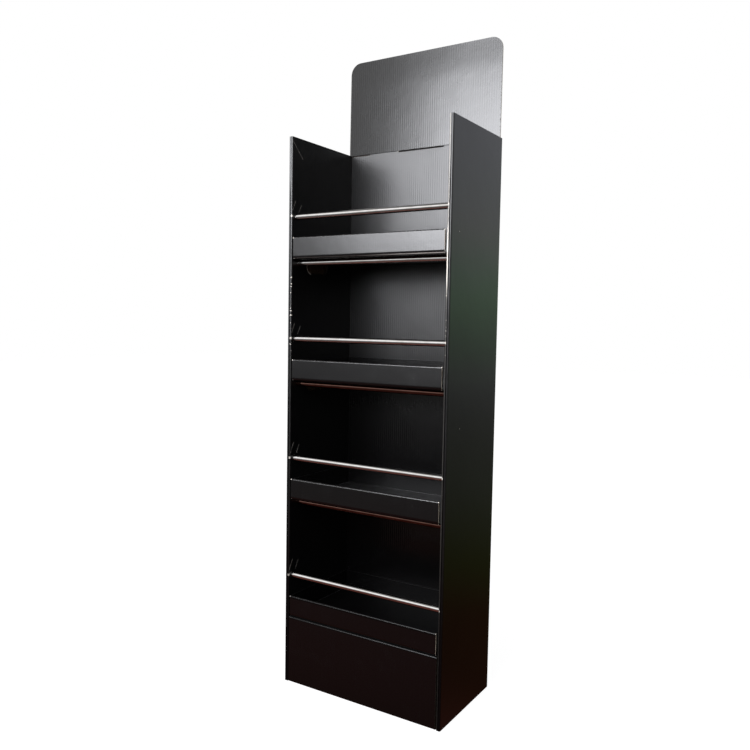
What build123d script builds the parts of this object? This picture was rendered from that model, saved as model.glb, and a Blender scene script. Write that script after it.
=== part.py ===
from build123d import *
import os

# Cardboard floor display stand: a folded body with double side walls, a back card that also
# stands up as the header, a rolled plinth, trays with rolled lips, and chromed steel tubes
# in front of and below the trays.
# Millimetres. The origin is on the floor at the middle of the footprint, +Z is up and the
# open front faces -Y.

# Outer form
stand_width = 458.0
stand_depth = 270.0
wall_height = 1400.0
header_height = 250.0
plinth_height = 174.0
top_bay_height = 305.0
tray_count = 4

# Board
board = 3.0
fold_inside_radius = 1.0

# Double side walls
spine_width = 11.0
spine_valley_depth = 1.2
spine_inside_radius = 0.2

# Back card and header
card_gap = 0.3
card_side_gap = 0.3
header_corner_radius = 30.0
header_lean_deg = 0.6
header_crease_drop = 2.2
header_slit_height = 3.0
header_bridge_width = 90.0
header_bridge_spacing = 226.0
header_score_width = 2.0
header_score_depth = 0.6

# Trays
lip_height = 55.0
lip_foot_radius = 9.0
lip_ply_gap = 0.6
lip_top_flat = 0.1
lip_end_gap = 4.5
flange_height = 53.0
rear_flange_height = 53.0
tray_side_gap = 0.5
tray_back_gap = 1.5
tray_corner_gap = 1.5
lock_tab_width = 60.0
lock_tab_spacing = 210.0
lock_tab_gap = 0.4
lock_tab_foot = 2.0

# Ledges pressed out of the inner side panels, one below each side of a tray
ledge_length = 88.0
ledge_reach = 30.0
ledge_corner_radius = 18.0
ledge_setback = 110.0
ledge_cut_gap = 0.8

# Tubes
tube_diameter = 15.0
tube_wall = 1.0
tube_hole_gap = 0.2
tube_seat_gap = 0.05
tube_end_gap = 0.5
guard_tube_rise = 52.0
guard_tube_front_gap = 8.5
shelf_tube_setback = 30.0

# Plinth
plinth_side_gap = 2.0
plinth_back_gap = 0.5
plinth_lap = 60.0
plinth_lap_gap = 0.3

# Sizes that follow from the ones above
half_board = board / 2
fold_radius = fold_inside_radius + half_board
tray_pitch = (wall_height - top_bay_height - plinth_height) / (tray_count - 1)
crease_level = wall_height - header_crease_drop
inside_half_width = stand_width / 2 - spine_width
front = -stand_depth / 2
back = stand_depth / 2
card_back = back - board
card_front = card_back - board
card_half_width = stand_width / 2 - board - fold_inside_radius - card_side_gap
tray_depth = card_front - tray_back_gap - front
tray_half_width = inside_half_width - tray_side_gap
lip_half_width = inside_half_width - lip_end_gap
tube_radius = tube_diameter / 2
hole_radius = tube_radius + tube_hole_gap
hole_lift = tube_hole_gap - tube_seat_gap
guard_tube_setback = guard_tube_front_gap + tube_radius
guard_tube_half_length = (stand_width - spine_width) / 2 - tube_end_gap
shelf_tube_half_length = stand_width / 2 - board - tube_end_gap
tray_levels = [plinth_height + tray_pitch * i for i in range(tray_count)]
hung_tray_levels = tray_levels[1:]


def block(low, high):
    """Square-cornered block between two opposite corners."""
    size = [high[i] - low[i] for i in range(3)]
    middle = [(high[i] + low[i]) / 2 for i in range(3)]
    return Pos(*middle) * Box(*size)


def folded_across(points, radii, half_width):
    """Sheet folded along a side view of (Y, Z) points, running evenly to both sides of X = 0."""
    section = trace(FilletPolyline(*points, radius=radii), line_width=board)
    return extrude(Plane.YZ * section, amount=half_width, both=True)


def folded_deep(points, radii, y_near, y_far):
    """Sheet folded along a front view of (X, Z) points, running back from y_near to y_far."""
    section = trace(FilletPolyline(*points, radius=radii), line_width=board)
    far_plane = Plane(origin=(0, y_far, 0), x_dir=(1, 0, 0), z_dir=(0, -1, 0))
    return extrude(far_plane * section, amount=y_far - y_near)


def rod(radius, half_length, setback, level):
    """Round bar laid along X, at a setback from the front and a level above the floor."""
    return Pos(0, front + setback, level) * Rot(0, 90, 0) * Cylinder(radius, 2 * half_length)


def body_sheet():
    """Inner panels, valley-folded spines, outer sides and back, all in one folded sheet."""
    outer = stand_width / 2 - half_board
    inner = inside_half_width + half_board
    nose = front + half_board
    half = [
        (inner, card_front - card_gap),
        (inner, nose),
        ((outer + inner) / 2, nose + spine_valley_depth),
        (outer, nose),
        (outer, back - half_board),
    ]
    points = half + [(-x, y) for x, y in reversed(half)]
    spine_radius = spine_inside_radius + half_board
    radii = [spine_radius, spine_radius, spine_radius, fold_radius]
    plan = trace(FilletPolyline(*points, radius=radii + radii[::-1]), line_width=board)
    return extrude(plan, amount=wall_height)


def ledge_outline(length, reach, corner):
    """Half-moon outline: hinge line on the local X axis, round free side below it."""
    shape = Pos(0, -reach / 2) * Rectangle(length, reach)
    return fillet(shape.vertices().group_by(Axis.Y)[0], radius=corner)


def ledge_opening(level, side):
    """Cutter for the place in an inner panel that the board of a ledge came out of."""
    outline = ledge_outline(
        ledge_length + 2 * ledge_cut_gap,
        ledge_reach + ledge_cut_gap,
        ledge_corner_radius + ledge_cut_gap,
    )
    panel_face = Plane(
        origin=(side * inside_half_width, front + ledge_setback, level),
        x_dir=(0, 1, 0),
        z_dir=(1, 0, 0),
    )
    return extrude(panel_face * outline, amount=side * board)


def ledge(level, side):
    """Ledge folded inwards at its top edge, so that its upper face lies at the tray's level."""
    panel_x = side * (inside_half_width + half_board)
    tip_x = side * (inside_half_width - ledge_reach)
    strip = folded_deep(
        [(panel_x, level + board), (panel_x, level - half_board), (tip_x, level - half_board)],
        fold_radius,
        front + ledge_setback - ledge_length / 2,
        front + ledge_setback + ledge_length / 2,
    )
    outline = ledge_outline(ledge_length, ledge_reach + board, ledge_corner_radius)
    seen_from_above = Plane(
        origin=(side * (inside_half_width + board), front + ledge_setback, level - board),
        x_dir=(0, -side, 0),
        z_dir=(0, 0, 1),
    )
    return strip & extrude(seen_from_above * outline, amount=2 * board)


def make_body():
    """Body sheet with its tube holes, and the ledges pressed out of its inner panels."""
    body = body_sheet()
    for level in tray_levels:
        hole_level = level + lip_height + guard_tube_rise + hole_lift
        half_length = guard_tube_half_length + tube_end_gap
        body -= rod(hole_radius, half_length, guard_tube_setback, hole_level)
    for level in hung_tray_levels:
        hole_level = level - tube_radius + hole_lift
        half_length = inside_half_width + board + half_board
        body -= rod(hole_radius, half_length, shelf_tube_setback, hole_level)
        for side in (-1, 1):
            body -= ledge_opening(level, side)
            body += ledge(level, side)
    return body


def make_back_card():
    """Card that lines the back and goes on up as the header, with a slit crease near the wall tops."""
    half_width = card_half_width
    lining = block((-half_width, card_front, 0), (half_width, card_back, wall_height))
    outline = Pos(0, header_height / 2) * Rectangle(2 * half_width, header_height)
    outline = fillet(outline.vertices().group_by(Axis.Y)[-1], radius=header_corner_radius)
    header_back = Plane(origin=(0, card_back, wall_height), x_dir=(1, 0, 0), z_dir=(0, -1, 0))
    header = extrude(header_back * outline, amount=board)
    bend = Axis((0, card_front, wall_height), (1, 0, 0))
    card = lining + header.rotate(bend, -header_lean_deg)
    slit_low = crease_level - header_slit_height / 2
    slit_high = crease_level + header_slit_height / 2
    bridge_outer = (header_bridge_spacing + header_bridge_width) / 2
    bridge_inner = (header_bridge_spacing - header_bridge_width) / 2
    slits = [
        (-half_width - board, -bridge_outer),
        (-bridge_inner, bridge_inner),
        (bridge_outer, half_width + board),
    ]
    for x_left, x_right in slits:
        card -= block(
            (x_left, card_front - board, slit_low),
            (x_right, card_back + board, slit_high),
        )
    half_score = header_score_width / 2
    return card - block(
        (-half_width, card_front - board, crease_level - half_score),
        (half_width, card_front + header_score_depth, crease_level + half_score),
    )


def make_plinth():
    """Kick panel, platform, back and floor in one rolled sheet that laps under itself."""
    near = front + half_board
    far = card_front - plinth_back_gap - half_board
    floor_level = board + plinth_lap_gap + half_board
    points = [
        (near + plinth_lap, half_board),
        (near, half_board),
        (near, plinth_height - half_board),
        (far, plinth_height - half_board),
        (far, floor_level),
        (near + fold_radius + board, floor_level),
    ]
    return folded_across(points, fold_radius, inside_half_width - plinth_side_gap)


def make_tray():
    """Tray with its underside at Z = 0: rolled lip, locked into the floor, and three flanges."""
    inner_ply = front + board + lip_ply_gap
    rear = front + tray_depth - half_board
    roll_radius = (board + lip_ply_gap - lip_top_flat) / 2
    lip_points = [
        (inner_ply + half_board, lip_foot_radius),
        (inner_ply + half_board, lip_height - half_board),
        (front + half_board, lip_height - half_board),
        (front + half_board, half_board),
        (rear, half_board),
        (rear, rear_flange_height),
    ]
    lip_radii = [roll_radius, roll_radius, lip_foot_radius - half_board, fold_radius]
    tray = folded_across(lip_points, lip_radii, lip_half_width)
    side = tray_half_width - half_board
    tray += folded_deep(
        [(-side, flange_height), (-side, half_board), (side, half_board), (side, flange_height)],
        fold_radius,
        front + lip_foot_radius + tray_corner_gap,
        front + tray_depth - board - tray_corner_gap,
    )
    for middle in (-lock_tab_spacing / 2, lock_tab_spacing / 2):
        left = middle - lock_tab_width / 2
        right = middle + lock_tab_width / 2
        tray -= block(
            (left - lock_tab_gap, inner_ply - lock_tab_gap, -board),
            (right + lock_tab_gap, inner_ply + board + lock_tab_gap, lip_foot_radius),
        )
        tray += block(
            (left, inner_ply, lock_tab_foot),
            (right, inner_ply + board, lip_foot_radius + board),
        )
    return tray


def make_tube(half_length, setback, level):
    """Steel tube laid along X, its ends held in the two side walls."""
    outside = rod(tube_radius, half_length, setback, level)
    return outside - rod(tube_radius - tube_wall, half_length, setback, level)


parts = {
    "body": make_body(),
    "back_card": make_back_card(),
    "plinth": make_plinth(),
}
tray = make_tray()
for number, level in enumerate(tray_levels, start=1):
    guard_level = level + lip_height + guard_tube_rise
    parts[f"tray_{number}"] = Pos(0, 0, level) * tray
    parts[f"guard_tube_{number}"] = make_tube(guard_tube_half_length, guard_tube_setback, guard_level)
    if level in hung_tray_levels:
        shelf_tube = make_tube(shelf_tube_half_length, shelf_tube_setback, level - tube_radius)
        parts[f"shelf_tube_{number}"] = shelf_tube

os.makedirs("parts", exist_ok=True)
for name, shape in parts.items():
    export_step(shape, f"parts/{name}.step")
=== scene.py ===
import math

import bpy
from mathutils import Matrix, Vector

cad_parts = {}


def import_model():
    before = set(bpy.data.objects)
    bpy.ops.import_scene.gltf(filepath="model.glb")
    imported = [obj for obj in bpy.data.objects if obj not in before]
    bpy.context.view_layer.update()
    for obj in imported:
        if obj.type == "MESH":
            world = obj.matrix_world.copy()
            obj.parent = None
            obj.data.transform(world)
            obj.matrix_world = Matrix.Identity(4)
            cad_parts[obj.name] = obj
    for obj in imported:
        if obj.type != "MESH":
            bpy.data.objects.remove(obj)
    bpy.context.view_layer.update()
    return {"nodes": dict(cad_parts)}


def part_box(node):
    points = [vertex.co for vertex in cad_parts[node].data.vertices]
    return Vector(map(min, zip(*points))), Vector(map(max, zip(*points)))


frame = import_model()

# Looks of the cardboard floor display stand: black film on corrugated board, and chromed tubes.
# Metres. The origin is on the floor at the middle of the footprint, +Z is up and the open front
# faces -Y. Every piece is its CAD node in a finished material, and only the floor is a new mesh.
# The film is a mirror, so the room that it shows is made for all rays but the camera's.

NODES = frame["nodes"]

# Places that the frame gives
LEVELS = sorted(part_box(name)[0].z for name in NODES if name.startswith("tray"))
PITCH = LEVELS[1] - LEVELS[0]
TOP_TRAY = LEVELS[3]
OUTER, BACK, WALL_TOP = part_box("body")[1]
TRAY_LOW, TRAY_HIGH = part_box("tray_1")
FRONT = TRAY_LOW.y
LIP_HEIGHT = TRAY_HIGH.z - TRAY_LOW.z
GUARD_LEVEL = sum(corner.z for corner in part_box("guard_tube_1")) / 2

# Sizes of the part that its boxes don't give
BOARD = 0.003
PLINTH_SIDE_GAP = 0.002
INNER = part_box("plinth")[1].x + PLINTH_SIDE_GAP
LIP_END_GAP = 0.0045
LIP_HALF = INNER - LIP_END_GAP
CREASE = WALL_TOP - 0.0022
SLIT_HALF = 0.068

# All ledges lie within this of an inner panel, and in front of this depth
LEDGE_ZONE = 0.04
LEDGES_END = 0.03

# Flutes of the corrugated core, and how much less their crests mirror for each metre of height
FLUTE_PITCH = 0.0064
FLUTE_DRIFT = 0.0016
RIB_SHADE = 400.0

# Marks that the photograph shows, at (y, z) on the right side and on the left inner panel
SPECKS = ((-0.0932, 1.1474), (-0.0689, 0.6975))
SPECK_RADIUS = 0.0007
TORN_CENTRE = (-0.051, TOP_TRAY - 0.0128)
TORN_RADIUS = 0.0198

# Turn of the header at its left edge, in degrees
HEADER_TWIST = 7.8

# Colours
FILM = (0.0009, 0.0008, 0.0009)
FILM_SMUDGED = tuple(1.25 * part for part in FILM)
FILM_WORN = (0.055, 0.052, 0.05)
# Light creases, and a painted sheen along the foot of the top lip
CREASED_AND_SHEEN = (0.34, 0.32, 0.30)
KRAFT = (0.30, 0.165, 0.08)
# Brown inside of the sheet, painted darker than the kraft as shade for the hollows it lines
SHADED_INSIDE = (0.075, 0.042, 0.022)
SHADED_INSIDE_DARK = (0.035, 0.019, 0.010)
PAPER = (0.62, 0.58, 0.52)
CREAM = (0.90, 0.82, 0.68)
LINER = (0.62, 0.56, 0.48)
DARK_FLOOR = (0.020, 0.010, 0.006)
SOFTBOX_COLOR = (0.945, 0.955, 1.0)

# Camera, fitted to the photograph: its place, its turn in degrees and its lens in pixels
CAMERA_PLACE = (0.9964, -1.6551, 0.9400)
CAMERA_YAW, CAMERA_PITCH, CAMERA_ROLL = 32.27, -3.95, 0.96
FOCAL_PIXELS = 761.3
IMAGE_PIXELS = 750
SENSOR_MM = 36.0


class Net:
    """Builds the node tree of a material or of the world, with plain arithmetic on its values."""

    def __init__(self, owner, output, place):
        owner.use_nodes = True
        self.owner = owner
        self.tree = owner.node_tree
        self.tree.nodes.clear()
        self.output = self.add(output)
        self.place = self.add("ShaderNodeTexCoord").outputs[place]
        self.x, self.y, self.z = self.split(self.place)
        self.normal = self.add("ShaderNodeNewGeometry").outputs["True Normal"]
        self.nx, self.ny, self.nz = self.split(self.normal)

    def add(self, kind, **settings):
        node = self.tree.nodes.new(kind)
        for key, value in settings.items():
            setattr(node, key, value)
        return node

    def put(self, value, socket):
        """Links a socket to a node's output, or sets it to a plain value."""
        if isinstance(value, bpy.types.NodeSocket):
            self.tree.links.new(value, socket)
        else:
            socket.default_value = value

    def split(self, vector):
        node = self.add("ShaderNodeSeparateXYZ")
        self.put(vector, node.inputs[0])
        return node.outputs

    def math(self, operation, *values):
        node = self.add("ShaderNodeMath", operation=operation)
        for value, socket in zip(values, node.inputs):
            self.put(value, socket)
        return node.outputs[0]

    def plus(self, a, b):
        return self.math("ADD", a, b)

    def minus(self, a, b):
        return self.math("SUBTRACT", a, b)

    def times(self, a, b):
        return self.math("MULTIPLY", a, b)

    def size(self, a):
        return self.math("ABSOLUTE", a)

    def most(self, first, *others):
        for other in others:
            first = self.math("MAXIMUM", first, other)
        return first

    def least(self, first, *others):
        for other in others:
            first = self.math("MINIMUM", first, other)
        return first

    def all_of(self, first, *others):
        for other in others:
            first = self.times(first, other)
        return first

    def hypot(self, a, b):
        return self.math("SQRT", self.plus(self.times(a, a), self.times(b, b)))

    def ramp(self, value, start, end, low=0.0, high=1.0):
        """Smooth step from low at start to high at end."""
        node = self.add("ShaderNodeMapRange", interpolation_type="SMOOTHSTEP")
        for key, given in (("Value", value), ("From Min", start), ("From Max", end)):
            self.put(given, node.inputs[key])
        self.put(low, node.inputs["To Min"])
        self.put(high, node.inputs["To Max"])
        return node.outputs[0]

    def fade(self, value, start, end, full=1.0):
        """Smooth step from full at start to nothing at end."""
        return self.ramp(value, start, end, full, 0.0)

    def between(self, value, low, high, soft=0.0002):
        """1 where a value lies between two limits, with soft edges."""
        return self.times(
            self.ramp(value, low - soft, low + soft),
            self.fade(value, high - soft, high + soft),
        )

    def facing(self, part):
        """1 where one part of the normal, such as nz, is almost the whole of it."""
        return self.ramp(part, 0.9, 0.95)

    def noise(self, scale, detail=2.0, rough=0.5, vector=None):
        node = self.add("ShaderNodeTexNoise")
        self.put(self.place if vector is None else vector, node.inputs["Vector"])
        self.put(scale, node.inputs["Scale"])
        self.put(detail, node.inputs["Detail"])
        self.put(rough, node.inputs["Roughness"])
        return node.outputs["Fac"]

    def streaks(self, x, y, z, detail=2.0, rough=0.5):
        """Noise with a scale of its own on each axis, and so drawn out along the axis of the smallest."""
        node = self.add("ShaderNodeVectorMath", operation="MULTIPLY")
        self.put(self.place, node.inputs[0])
        node.inputs[1].default_value = (x, y, z)
        return self.noise(1.0, detail, rough, vector=node.outputs[0])

    def mix(self, factor, a, b):
        """Colour between a and b."""
        node = self.add("ShaderNodeMix", data_type="RGBA")
        self.put(factor, node.inputs[0])
        for value, socket in ((a, node.inputs[6]), (b, node.inputs[7])):
            if isinstance(value, tuple):
                value = (*value, 1.0)
            self.put(value, socket)
        return node.outputs[2]

    def blend(self, factor, a, b):
        """Number between a and b."""
        node = self.add("ShaderNodeMix", data_type="FLOAT")
        self.put(factor, node.inputs[0])
        self.put(a, node.inputs[2])
        self.put(b, node.inputs[3])
        return node.outputs[0]

    def bump(self, height, distance, strength=1.0, below=None):
        """Normal that a height gives, on top of the relief below it."""
        node = self.add("ShaderNodeBump")
        self.put(height, node.inputs["Height"])
        node.inputs["Distance"].default_value = distance
        node.inputs["Strength"].default_value = strength
        if below is not None:
            self.put(below, node.inputs["Normal"])
        return node.outputs[0]

    def colors(self, value, stops):
        """Colour that changes evenly with a value, through (value, colour) stops."""
        low, high = stops[0][0], stops[-1][0]
        node = self.add("ShaderNodeMapRange")
        self.put(value, node.inputs["Value"])
        node.inputs["From Min"].default_value = low
        node.inputs["From Max"].default_value = high
        ramp = self.add("ShaderNodeValToRGB")
        elements = ramp.color_ramp.elements
        while len(elements) < len(stops):
            elements.new(0.5)
        for element, (at, color) in zip(elements, stops):
            element.position = (at - low) / (high - low)
            element.color = (*color, 1.0)
        self.put(node.outputs[0], ramp.inputs[0])
        return ramp.outputs[0]

    def spot(self, a, b, at, radius, soft):
        """1 on a small round mark at a point of the plane (a, b)."""
        away = self.hypot(self.minus(a, at[0]), self.minus(b, at[1]))
        return self.fade(away, radius, radius + soft)

    def segment(self, a, b, start, end, half_width, soft):
        """1 on a straight mark between two points of the plane (a, b)."""
        (a0, b0), (a1, b1) = start, end
        length = math.hypot(a1 - a0, b1 - b0)
        ca, cb = (a1 - a0) / length, (b1 - b0) / length
        da, db = self.minus(a, a0), self.minus(b, b0)
        along = self.plus(self.times(da, ca), self.times(db, cb))
        across = self.size(self.minus(self.times(da, cb), self.times(db, ca)))
        ends = self.between(along, 0.0, length, 0.002)
        return self.times(ends, self.fade(across, half_width, half_width + soft))

    def surface(self, color, roughness, normal, specular, **fixed):
        """Ends a material. The fixed values are the same all over it."""
        shader = self.add("ShaderNodeBsdfPrincipled")
        self.put(specular, shader.inputs["Specular IOR Level"])
        self.put(color, shader.inputs["Base Color"])
        self.put(roughness, shader.inputs["Roughness"])
        self.put(normal, shader.inputs["Normal"])
        for key, value in fixed.items():
            shader.inputs[key].default_value = value
        self.put(shader.outputs[0], self.output.inputs[0])
        return self.owner

    def glow(self, color, kind="ShaderNodeEmission"):
        shader = self.add(kind)
        self.put(color, shader.inputs[0])
        return shader.outputs[0]

    def seen_or_not(self, to_camera, to_others):
        """One shader for what the camera sees, another for all other rays."""
        mixer = self.add("ShaderNodeMixShader")
        self.put(self.add("ShaderNodeLightPath").outputs["Is Camera Ray"], mixer.inputs[0])
        self.put(to_others, mixer.inputs[1])
        self.put(to_camera, mixer.inputs[2])
        self.put(mixer.outputs[0], self.output.inputs[0])


def grey(value):
    return (value, value, value)


def opaque(color):
    return (*color, 1.0)


def material_net(name):
    return Net(bpy.data.materials.new(name), "ShaderNodeOutputMaterial", "Object")


def above_nearest(net, level, reach_down):
    """Height above a level that repeats with the trays, counted from reach_down below each."""
    return net.math("WRAP", net.minus(net.z, level), PITCH - reach_down, -reach_down)


def above_guard_tube(net):
    """Height above the middle of the nearest guard tube."""
    return above_nearest(net, GUARD_LEVEL, PITCH / 2)


def above_tray(net):
    """Height above the underside of whichever tray a point belongs to."""
    return above_nearest(net, LEVELS[0], 0.01)


# Board

def at(net, look):
    """Value of a look, which is a plain number or a function of the net."""
    return look(net) if callable(look) else look


def flute_height(net, across):
    """Height of the flutes from 0 to 1. They wander a little and are weaker in places."""
    drift = net.times(net.minus(net.noise(6.0), 0.5), FLUTE_DRIFT)
    phase = net.times(net.plus(across, drift), 2 * math.pi / FLUTE_PITCH)
    waves = net.plus(net.times(net.math("SINE", phase), 0.5), 0.5)
    return net.times(waves, net.ramp(net.noise(9.0), 0.3, 0.7, 0.35, 1.0))


def unprinted(net):
    """Colour of the sheet's brown inside, with flecks of its fibres, painted far darker than the kraft of the
    cut edges as shade.
    """
    flecks = net.streaks(300.0, 300.0, 60.0, 3.0, 0.6)
    return net.mix(net.ramp(flecks, 0.3, 0.7), SHADED_INSIDE_DARK, SHADED_INSIDE)


def cut_edge(net, across, fresh):
    """Colour of a cut edge, where the brown core shows between pale liners. The colour of a fresh cut, where
    one is given, makes up most of it."""
    wave = net.math("SINE", net.times(across, 2 * math.pi / FLUTE_PITCH))
    core = net.mix(net.ramp(wave, -0.2, 0.9), LINER, KRAFT)
    color = net.mix(net.ramp(net.noise(500.0), 0.35, 0.7), core, LINER)
    return net.mix(0.75, color, fresh) if fresh else color


def film_color(net, smudge, wear, mark, chips):
    """Colour of the film, with its dust, rubbed folds, creases, a painted sheen and the paper where it has
    come off.
    """
    dust = net.ramp(net.noise(900.0, 1.0), 0.80, 0.86)
    dust = net.times(dust, net.ramp(net.noise(30.0), 0.5, 0.62))
    film = net.mix(smudge, FILM, FILM_SMUDGED)
    film = net.mix(net.most(net.times(wear, 0.9), net.times(dust, 0.25)), film, FILM_WORN)
    # Creases, and a painted sheen along the foot of the top lip, turn the film lighter
    film = net.mix(net.times(mark, 0.8), film, CREASED_AND_SHEEN)
    return net.mix(chips, film, PAPER)


def film_roughness(net, gloss, smudge, rubbed):
    """The film is duller along its streaks and smudges, on upper faces and where it is rubbed."""
    streak = net.streaks(420.0, 420.0, 6.0, 3.0, 0.6)
    gloss = net.plus(gloss, net.times(net.minus(streak, 0.5), 0.05))
    gloss = net.plus(gloss, net.times(smudge, 0.02))
    gloss = net.plus(gloss, net.times(net.facing(net.nz), 0.28))
    return net.blend(rubbed, gloss, 0.5)


def relief(net, ribs, rubbed, bent):
    """Normal of the board, from its widest unevenness to its finest. bent(net) turns whole areas a little."""
    warp = (net.noise(5.0, 1.0), 0.0014)
    ripple = (net.noise(38.0), 0.00016)
    level_lines = (net.streaks(9.0, 9.0, 330.0), 0.00001)
    orange_peel = (net.noise(420.0), 0.000006)
    normal = net.bump(bent(net), 1.0) if bent else None
    for height, depth in (warp, ripple, (ribs, 1.0), level_lines, orange_peel):
        normal = net.bump(height, depth, below=normal)
    return net.bump(rubbed, 0.00015, 0.6, below=normal)


def board(name, gloss, ribs, cut, worn, painted_shade, bare=0.0, marks_and_sheen=0.0, chips=0.0, bent=None, fresh_cut=None):
    """Black film on corrugated board. Its looks are numbers or functions of the net: gloss is the film's
    roughness and ribs the height in metres of the flutes that show through it. The others are masks of the
    sheet: cut of its cut edges, worn of the fold lines that rub, deep of what lies in shadow, where shade is
    painted as black film without sheen, bare of its unprinted inside, painted darker as shade, marks of
    light creases and of a painted sheen, and chips of where the film has come off the paper."""
    net = material_net(name)
    across = net.blend(net.ramp(net.size(net.nx), 0.6, 0.8), net.x, net.y)
    smudge = net.ramp(net.noise(16.0, 4.0, 0.62), 0.52, 0.72)
    wear = net.times(worn(net), net.ramp(net.noise(260.0, 3.0, 0.7), 0.50, 0.68))
    mark = at(net, marks_and_sheen)
    rubbed = net.most(wear, mark)
    inside, edge, shadow = at(net, bare), cut(net), painted_shade(net)
    height = net.times(flute_height(net, across), at(net, ribs))

    color = film_color(net, smudge, wear, mark, at(net, chips))
    color = net.mix(inside, color, unprinted(net))
    color = net.mix(edge, color, cut_edge(net, across, fresh_cut))
    # Painted shade: where the deep mask lies, the colour is the plain black film
    color = net.mix(shadow, color, FILM)
    rough = film_roughness(net, at(net, gloss), smudge, rubbed)
    rough = net.blend(net.most(inside, edge), rough, 0.85)
    # Painted shade also takes the sheen away there
    specular = net.blend(shadow, net.minus(0.5, net.times(height, RIB_SHADE)), 0.0)
    return net.surface(color, rough, relief(net, height, rubbed, bent), specular, IOR=1.5)


# Body

def in_panel(net):
    """The thickness of an inner panel, where its cut rims are."""
    return net.between(net.size(net.x), INNER + 0.0001, INNER + BOARD - 0.0001, 0.0001)


def back_face(net):
    """Front face of the body's back, which shows through the slits of the back card."""
    at_face = net.ramp(net.y, BACK - BOARD - 0.0005, BACK - BOARD - 0.0002)
    return net.times(at_face, net.ramp(net.ny, -0.5, -0.7))


def body_inside(net):
    """The faces between the two panels of a side wall, the undersides of the ledges and, in part, the face
    of the back."""
    side = net.size(net.x)
    hollow = net.between(side, INNER + 0.6 * BOARD, OUTER - 0.6 * BOARD)
    hollow = net.times(hollow, net.between(net.y, FRONT + 1.5 * BOARD, BACK - 0.002))
    underside = net.times(
        net.between(side, INNER - LEDGE_ZONE, INNER - 0.0005),
        net.ramp(net.nz, -0.5, -0.7),
    )
    return net.most(hollow, underside, net.times(back_face(net), 0.5))


def body_painted_shade(net):
    """Painted shade on the valleys of the spines, the back behind the card's slits, the far rims of the ledge
    openings and, towards the floor, the fronts of the spines."""
    off_valley = net.size(net.minus(net.size(net.x), (INNER + OUTER) / 2))
    valley = net.all_of(
        net.fade(off_valley, 0.0010, 0.0022),
        net.ramp(net.y, FRONT + 0.004, FRONT + 0.003),
        net.ramp(net.z, 1.31, 1.25, 0.4, 0.9),
    )
    behind_slits = net.times(back_face(net), net.ramp(net.x, -0.1, -0.09, 0.45, 0.85))
    far_rim = net.all_of(
        in_panel(net),
        net.ramp(net.ny, -0.3, -0.5),
        net.between(net.y, -0.010, LEDGES_END),
        0.85,
    )
    spine_foot = net.all_of(
        net.ramp(net.ny, -0.3, -0.6),
        net.ramp(net.y, BACK - 0.05, BACK - 0.06),
        net.ramp(net.z, 0.5, 0.2, 0.0, 0.6),
    )
    return net.most(valley, behind_slits, far_rim, spine_foot)


def body_cut(net):
    """Top and bottom edges of the sheet, rims of the ledges and of their openings, and the rear edges of
    the inner panels."""
    side = net.size(net.x)
    walls_and_back = net.most(
        net.ramp(side, INNER - 0.0004, INNER - 0.0001),
        net.ramp(net.y, BACK - BOARD - 0.001, BACK - BOARD - 0.0005),
    )
    ends = net.times(net.facing(net.size(net.nz)), walls_and_back)
    opening_rim = net.all_of(
        in_panel(net),
        net.ramp(net.size(net.nx), 0.6, 0.5),
        net.between(net.y, FRONT + 0.013, LEDGES_END + 0.005, 0.001),
    )
    ledge_rim = net.all_of(
        net.between(side, INNER - LEDGE_ZONE, INNER - 0.0003),
        net.ramp(net.size(net.nz), 0.7, 0.5),
        net.ramp(net.y, LEDGES_END + 0.01, LEDGES_END),
    )
    rear_edge = net.all_of(
        net.facing(net.ny),
        net.ramp(net.y, BACK - 0.001, BACK - 0.002),
        net.ramp(side, INNER - 0.0005, INNER),
    )
    return net.most(ends, opening_rim, ledge_rim, rear_edge)


def body_gloss(net):
    """The outer sides are glossier than the rest."""
    at_side = net.ramp(net.size(net.x), OUTER - 0.0005, OUTER - 0.0003)
    return net.blend(net.times(net.facing(net.size(net.nx)), at_side), 0.32, 0.20)


def body_worn(net):
    """Folds of the front spines and of the rear corners."""
    side = net.size(net.x)
    depth = net.minus(net.y, FRONT)
    inner_fold = net.hypot(net.minus(side, INNER), depth)
    outer_fold = net.hypot(net.minus(side, OUTER), depth)
    rear_fold = net.hypot(net.minus(side, OUTER), net.minus(net.y, BACK))
    return net.fade(net.least(inner_fold, outer_fold, rear_fold), 0.0006, 0.0022)


def body_marks(net):
    """Two creases by each end of a guard tube, and one from each upper front corner."""
    depth = net.minus(net.y, FRONT)
    up = above_guard_tube(net)
    creases = net.most(
        net.segment(depth, net.z, (0.0, WALL_TOP - 0.008), (0.043, WALL_TOP - 0.05), 0.0003, 0.0008),
        net.segment(depth, up, (-0.001, 0.008), (0.015, 0.040), 0.0004, 0.0010),
        net.segment(depth, up, (0.027, 0.012), (0.039, 0.033), 0.0004, 0.0010),
    )
    on_inner_panel = net.times(
        net.facing(net.size(net.nx)),
        net.between(net.size(net.x), INNER - 0.0003, INNER + 0.0003),
    )
    broken = net.ramp(net.noise(70.0, 3.0, 0.7), 0.38, 0.62, 0.25, 1.0)
    return net.all_of(creases, on_inner_panel, broken)


def fold_band(net):
    """A band of uneven width along the inner folds of the spines."""
    waver = net.times(net.minus(net.streaks(30.0, 30.0, 60.0, 3.0, 0.6), 0.5), 0.003)
    away = net.hypot(net.minus(net.size(net.x), INNER), net.minus(net.y, FRONT))
    return net.fade(net.plus(away, waver), 0.0034, 0.0042)


def torn_rim(net):
    """Film torn along the lower front corner of the top left ledge's opening."""
    right_of, above = net.minus(net.y, TORN_CENTRE[0]), net.minus(net.z, TORN_CENTRE[1])
    off_ring = net.size(net.minus(net.hypot(right_of, above), TORN_RADIUS))
    return net.all_of(
        net.fade(off_ring, 0.0006, 0.0013),
        net.ramp(right_of, -0.002, -0.004),
        net.ramp(above, 0.004, 0.002),
        net.ramp(net.nx, 0.8, 0.9),
        net.ramp(net.x, -0.1, -0.15),
    )


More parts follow.
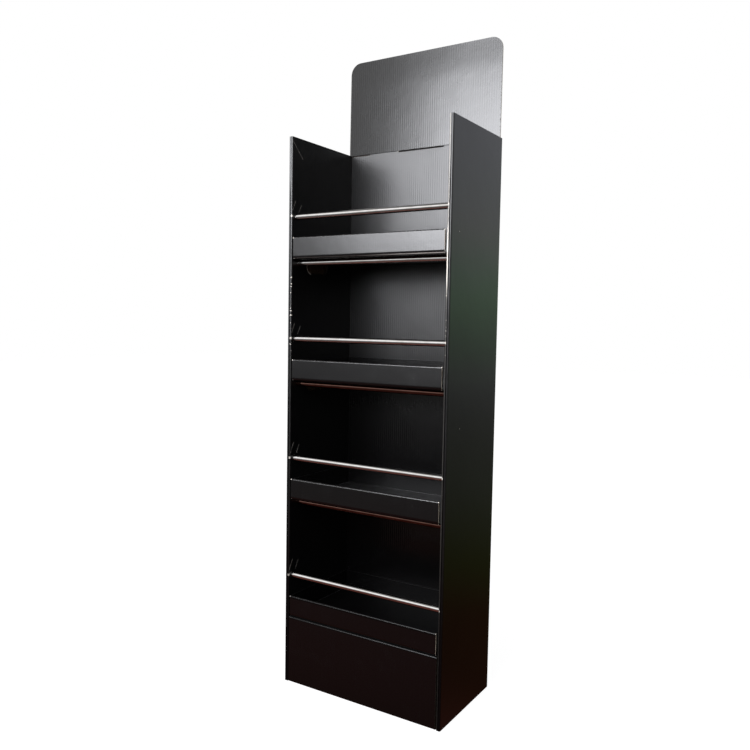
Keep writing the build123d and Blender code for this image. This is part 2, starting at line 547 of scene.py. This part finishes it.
def body_chips(net):
    """Nicks and dents along the inner folds, the right one's long rubbed stretch, two specks on the right
    side and a torn rim."""
    fold = fold_band(net)
    nicks = net.ramp(net.streaks(60.0, 60.0, 190.0, 2.0, 0.6), 0.60, 0.66)
    nicks = net.all_of(nicks, fold, net.between(net.z, 0.86, 1.06, 0.02))
    off_tube = net.size(net.minus(above_guard_tube(net), 0.002))
    dents = net.times(fold, net.fade(off_tube, 0.0015, 0.0035, 0.7))
    bare_stretch = net.times(net.between(net.z, 1.015, 1.16, 0.03), 0.9)
    paler_above = net.ramp(net.z, 0.95, 1.10, 0.03, 0.30)
    rubbed = net.all_of(fold, net.ramp(net.x, 0.0, 0.1), net.most(bare_stretch, paler_above))
    specks = net.most(*(net.spot(net.y, net.z, place, SPECK_RADIUS, 0.0006) for place in SPECKS))
    specks = net.times(specks, net.ramp(net.x, OUTER - 0.001, OUTER - 0.0005))
    return net.most(nicks, dents, specks, rubbed, torn_rim(net))


# Back card

def on_header(net):
    return net.ramp(net.z, WALL_TOP - 0.002, WALL_TOP + 0.002)


def card_cut(net):
    """Rim of the card, apart from the faces of its slits and score, which are left black as painted shade."""
    crease = net.between(net.z, CREASE - 0.0038, CREASE + 0.0037)
    return net.times(net.ramp(net.size(net.ny), 0.8, 0.6), net.minus(1.0, crease))


def card_painted_shade(net):
    """Painted shade in the middle slit, whose rims have closed a little over it."""
    crease = net.between(net.z, CREASE - 0.0022, CREASE + 0.0020)
    return net.times(crease, net.fade(net.size(net.x), SLIT_HALF, SLIT_HALF + 0.0005, 0.9))


def card_ribs(net):
    """Flutes show most on the lining below the top tray. On the header they show more at its left."""
    header = net.ramp(net.x, -0.12, 0.02, 0.00010, 0.00005)
    lining = net.ramp(net.z, TOP_TRAY - 0.02, TOP_TRAY, 0.00024, 0.00010)
    return net.blend(on_header(net), lining, header)


def card_chips(net):
    """Torn paper at the left end of the middle slit."""
    return net.spot(net.x, net.z, (-SLIT_HALF, WALL_TOP - 0.0015), 0.0008, 0.001)


def card_worn(net):
    """The side edges of the card."""
    off_line = net.minus(net.size(net.x), OUTER - 0.005)
    return net.fade(net.size(off_line), 0.001, 0.003)


def card_gloss(net):
    """The lining is glossier than the header low down, and duller above the third tray."""
    lining = net.ramp(net.z, 0.6, 0.88, 0.22, 0.34)
    return net.blend(on_header(net), lining, 0.27)


def card_bent(net):
    """The header is turned at its left edge, and less towards its right, and its top leans back a little."""
    across = net.minus(0.5, net.times(net.x, 0.5 / OUTER))
    turn = net.all_of(across, across, across, -2 * OUTER / 3 * math.tan(math.radians(HEADER_TWIST)))
    turn = net.times(turn, net.ramp(net.z, WALL_TOP - 0.001, WALL_TOP))
    return net.plus(turn, net.ramp(net.z, WALL_TOP + 0.17, WALL_TOP + 0.26, 0.0, -0.0012))


# Plinth

def off_top_edge(net):
    """Distance from the plinth's top front edge."""
    return net.hypot(net.minus(net.y, FRONT), net.minus(net.z, LEVELS[0]))


def plinth_cut(net):
    return net.facing(net.size(net.nx))


def plinth_painted_shade(net):
    """Painted shade on the cut ends, in the gap beside the spines, and in part on the top front edge."""
    return net.most(net.times(plinth_cut(net), 0.9), net.fade(off_top_edge(net), 0.004, 0.006, 0.6))


def plinth_inside(net):
    """The hollow side of the sleeve."""
    return net.times(
        net.between(net.y, FRONT + 0.6 * BOARD, BACK - 0.0075),
        net.between(net.z, 0.6 * BOARD, LEVELS[0] - 0.6 * BOARD),
    )


def plinth_worn(net):
    return net.fade(off_top_edge(net), 0.0006, 0.0026)


# Trays

def off_lip_edge(net, up):
    """Distance from the top front edge of a lip, set in by the roundness of its fold."""
    return net.hypot(net.minus(net.y, FRONT + 0.001), net.minus(up, LIP_HEIGHT - 0.001))


def lip_end(net):
    on_end = net.between(net.size(net.x), LIP_HALF - 0.0004, LIP_HALF + 0.0004)
    return net.times(net.facing(net.size(net.nx)), on_end)


def tray_cut(net):
    """Cut edge of the lip's outer ply."""
    return net.times(lip_end(net), net.ramp(net.y, FRONT + 0.0022, FRONT + 0.0018))


def tray_painted_shade(net):
    """Painted shade on the rest of a lip's end, the front ends of the side flanges beside it, the slots of
    its lock tabs and, in part, the lowest tray's floor and top edge."""
    beyond = net.ramp(net.size(net.x), LIP_HALF + 0.0002, LIP_HALF + 0.0006)
    flange_end = net.times(net.ramp(net.ny, -0.9, -0.95), beyond)
    inner_ply = net.times(lip_end(net), net.ramp(net.y, FRONT + 0.0018, FRONT + 0.0022))
    slot = net.all_of(
        net.between(net.y, FRONT + 0.0031, FRONT + 0.0076),
        net.ramp(above_tray(net), 0.0088, 0.0082),
        net.ramp(net.size(net.ny), 0.4, 0.6),
    )
    low_edge = net.fade(off_lip_edge(net, net.minus(net.z, LEVELS[0])), 0.004, 0.006, 0.6)
    low_floor = net.all_of(net.facing(net.nz), net.ramp(net.z, 0.25, 0.20), 0.85)
    return net.most(net.times(net.most(flange_end, inner_ply, slot), 0.9), low_edge, low_floor)


def tray_chips(net):
    """Corners of the lips, where the film has come off."""
    up = above_tray(net)
    corner = net.minus(net.size(net.x), LIP_HALF)
    depth = net.minus(net.y, FRONT)
    off_top = net.hypot(net.minus(up, LIP_HEIGHT - 0.0005), net.hypot(corner, depth))
    off_foot = net.hypot(net.minus(up, 0.001), net.hypot(corner, net.minus(depth, 0.002)))
    return net.fade(net.least(off_top, off_foot), 0.0016, 0.0026)


def tray_foot_sheen(net):
    """Painted sheen along the foot of the top lip, stronger towards its right end, where the film is also
    duller.
    """
    return net.all_of(
        net.between(net.nz, -0.86, -0.56, 0.06),
        net.ramp(net.y, FRONT + 0.012, FRONT + 0.010),
        net.ramp(net.z, TOP_TRAY - 0.005, TOP_TRAY - 0.004),
        net.ramp(net.x, -0.03, 0.17, 0.08, 0.95),
    )


def tray_worn(net):
    """Top front edges of the lips."""
    return net.fade(off_lip_edge(net, above_tray(net)), 0.0008, 0.0032)


# Materials on their nodes

def chrome(name, clear, smeared):
    """Chromed steel, with smears along the tube."""
    net = material_net(name)
    smear = net.streaks(14.0, 260.0, 260.0, 3.0, 0.6)
    color = net.mix(net.ramp(net.noise(60.0, 3.0), 0.35, 0.7), clear, smeared)
    rough = net.plus(0.07, net.times(smear, 0.10))
    return net.surface(color, rough, net.bump(smear, 0.00001), 0.5, Metallic=1.0)


def dress():
    """Gives each CAD node its finished material. Two shelf tubes get a dark, brownish copy of the chrome as
    painted shade.
    """
    body = board(
        "body_board",
        gloss=body_gloss,
        ribs=0.00005,
        cut=body_cut,
        worn=body_worn,
        painted_shade=body_painted_shade,
        bare=body_inside,
        marks_and_sheen=body_marks,
        chips=body_chips,
    )
    card = board(
        "card_board",
        gloss=card_gloss,
        ribs=card_ribs,
        cut=card_cut,
        worn=card_worn,
        painted_shade=card_painted_shade,
        chips=card_chips,
        bent=card_bent,
    )
    plinth = board(
        "plinth_board",
        gloss=0.26,
        ribs=0.00004,
        cut=plinth_cut,
        worn=plinth_worn,
        painted_shade=plinth_painted_shade,
        bare=plinth_inside,
    )
    tray = board(
        "tray_board",
        gloss=0.25,
        ribs=0.00003,
        cut=tray_cut,
        worn=tray_worn,
        painted_shade=tray_painted_shade,
        marks_and_sheen=tray_foot_sheen,
        chips=tray_chips,
        fresh_cut=CREAM,
    )
    bright = chrome("bright_tube", (0.72, 0.71, 0.70), (0.64, 0.62, 0.60))
    # Painted shade: a dark copy of the chrome for the shelf tubes under the lips of the second and third
    # trays
    shaded_chrome = chrome("painted_shade_tube", (0.19, 0.10, 0.08), (0.14, 0.07, 0.055))
    own = {"body": body, "back_card": card, "plinth": plinth, "shelf_tube_2": shaded_chrome, "shelf_tube_3": shaded_chrome}
    for name, node in NODES.items():
        shared = tray if name.startswith("tray") else bright
        node.data.materials[0] = own.get(name, shared)


# Camera, lights, room and floor

def look(position, yaw, pitch, roll):
    """World matrix of a camera or light at a position, turned by yaw, pitch and roll in degrees."""
    yaw, pitch, roll = (math.radians(a) for a in (yaw, pitch, roll))
    ahead = Vector((-math.sin(yaw) * math.cos(pitch), math.cos(yaw) * math.cos(pitch), math.sin(pitch)))
    level = Vector((math.cos(yaw), math.sin(yaw), 0.0))
    upward = level.cross(ahead)
    right = math.cos(roll) * level + math.sin(roll) * upward
    up = math.cos(roll) * upward - math.sin(roll) * level
    matrix = Matrix((right, up, -ahead)).transposed().to_4x4()
    matrix.translation = position
    return matrix


def camera():
    data = bpy.data.cameras.new("camera")
    data.sensor_width = SENSOR_MM
    data.lens = SENSOR_MM * FOCAL_PIXELS / IMAGE_PIXELS
    data.clip_end = 60.0
    item = bpy.data.objects.new("camera", data)
    item.matrix_world = look(CAMERA_PLACE, CAMERA_YAW, CAMERA_PITCH, CAMERA_ROLL)
    bpy.context.scene.collection.objects.link(item)
    bpy.context.scene.camera = item


def all_but_tubes():
    """What the softbox lights. The tubes mirror only the room, as the softbox's image would bloom."""
    group = bpy.data.collections.new("mirror_room_only")
    for name, node in NODES.items():
        if "tube" in name:
            group.objects.link(node)
    for entry in group.collection_objects:
        entry.light_linking.link_state = "EXCLUDE"
    return group


def softbox(name, distance, x_range, z_range, radiance, receivers):
    """Oval light of an even radiance in front of the stand, facing it."""
    data = bpy.data.lights.new(name, "AREA")
    data.shape = "ELLIPSE"
    data.color = SOFTBOX_COLOR
    data.size = x_range[1] - x_range[0]
    data.size_y = z_range[1] - z_range[0]
    area = math.pi / 4 * data.size * data.size_y
    data.energy = radiance * math.pi * area
    item = bpy.data.objects.new(name, data)
    item.matrix_world = look((sum(x_range) / 2, -distance, sum(z_range) / 2), 0.0, 0.0, 0.0)
    item.light_linking.receiver_collection = receivers
    bpy.context.scene.collection.objects.link(item)


def nested_softboxes():
    """Three ovals, each a little nearer than the last, that make one light which fades to its edges."""
    receivers = all_but_tubes()
    for name, distance, x_range, z_range, radiance in (
        ("softbox_rim", 1.99, (-1.64, 0.62), (0.93, 2.76), 2.8),
        ("softbox_middle", 1.97, (-1.46, 0.50), (1.08, 2.62), 5.2),
        ("softbox_core", 1.95, (-1.27, 0.38), (1.24, 2.48), 11.2),
    ):
        softbox(name, distance, x_range, z_range, radiance, receivers)


def world():
    """White to the camera. The room that the object mirrors is bright in front and above, dim behind. Its
    colours go by the upward part of a direction, from 0 at the horizon to 1 straight up."""
    made = bpy.data.worlds.new("room")
    bpy.context.scene.world = made
    net = Net(made, "ShaderNodeOutputWorld", "Generated")
    behind = net.colors(net.z, [
        (-0.50, DARK_FLOOR),
        (-0.10, (0.110, 0.132, 0.110)),
        (-0.02, (0.24, 0.32, 0.24)),
        (0.035, (0.33, 0.50, 0.34)),
        (0.085, (0.45, 0.54, 0.46)),
        (0.14, (0.52, 0.55, 0.56)),
        (0.26, (0.60, 0.61, 0.67)),
        (0.50, grey(0.50)),
        (0.75, grey(0.22)),
        (1.00, grey(0.16)),
    ])
    before = net.colors(net.z, [
        (-0.50, DARK_FLOOR),
        (-0.10, grey(0.15)),
        (-0.04, grey(0.35)),
        (0.05, grey(0.60)),
        (0.11, grey(1.05)),
        (0.20, grey(1.15)),
        (0.36, grey(1.20)),
        (0.50, grey(1.50)),
        (0.66, grey(1.00)),
        (0.74, grey(0.22)),
        (1.00, grey(0.16)),
    ])

    # Soft patches low in the room behind: colour, (x, z) of their direction, radius and strength
    green_patch = ((0.30, 0.68, 0.27), (0.430, 0.038), 0.010, 0.55)
    blue_patch = ((0.40, 0.52, 0.55), (0.448, 0.060), 0.006, 0.5)
    pink_patch = ((0.74, 0.48, 0.50), (0.406, 0.125), 0.006, 0.55)
    for color, place, radius, strength in (green_patch, blue_patch, pink_patch):
        patch = net.times(net.spot(net.x, net.z, place, radius, 0.03), net.ramp(net.y, 0.0, 0.1))
        behind = net.mix(net.times(patch, strength), behind, color)

    room = net.mix(net.ramp(net.y, -0.40, -0.15, 1.0, 0.0), behind, before)
    sky = "ShaderNodeBackground"
    net.seen_or_not(net.glow(opaque(grey(1.0)), sky), net.glow(room, sky))


def floor():
    """Pale to the camera, and it keeps the object's shadow. For all other rays it glows, a painted floor of
    the room that the object mirrors as dark and warm, in colours that go by the distance from the stand,
    with a painted pool of the softbox's glare about 2.2 m in front."""
    reach, just_below = 14.0, -0.0004
    mesh = bpy.data.meshes.new("floor")
    corners = [(-reach, -reach, 0.0), (reach, -reach, 0.0), (reach, reach, 0.0), (-reach, reach, 0.0)]
    mesh.from_pydata(corners, [], [(0, 1, 2, 3)])
    item = bpy.data.objects.new("floor", mesh)
    item.location.z = just_below
    bpy.context.scene.collection.objects.link(item)
    net = material_net("floor")
    matt = net.add("ShaderNodeBsdfDiffuse")
    matt.inputs[0].default_value = opaque(grey(0.2))
    pale = net.add("ShaderNodeAddShader")
    net.put(net.glow(opaque(grey(0.93))), pale.inputs[0])
    net.put(matt.outputs[0], pale.inputs[1])
    away = net.hypot(net.x, net.y)
    before = net.colors(away, [
        (0.2, (0.125, 0.038, 0.030)),
        (1.2, (0.11, 0.040, 0.032)),
        (2.2, (0.20, 0.17, 0.16)),
        (3.0, grey(0.06)),
        (8.0, grey(0.18)),
        (reach, grey(0.36)),
    ])
    behind = net.colors(away, [
        (0.2, (0.050, 0.018, 0.008)),
        (0.75, (0.050, 0.022, 0.009)),
        (1.25, (0.052, 0.056, 0.016)),
        (2.5, (0.090, 0.098, 0.072)),
        (8.0, grey(0.15)),
        (reach, grey(0.25)),
    ])
    net.seen_or_not(pale.outputs[0], net.glow(net.mix(net.ramp(net.y, -0.4, 0.2), before, behind)))
    mesh.materials.append(net.owner)


camera()
world()
floor()
nested_softboxes()
dress()
bpy.context.scene.view_settings.view_transform = "Standard"
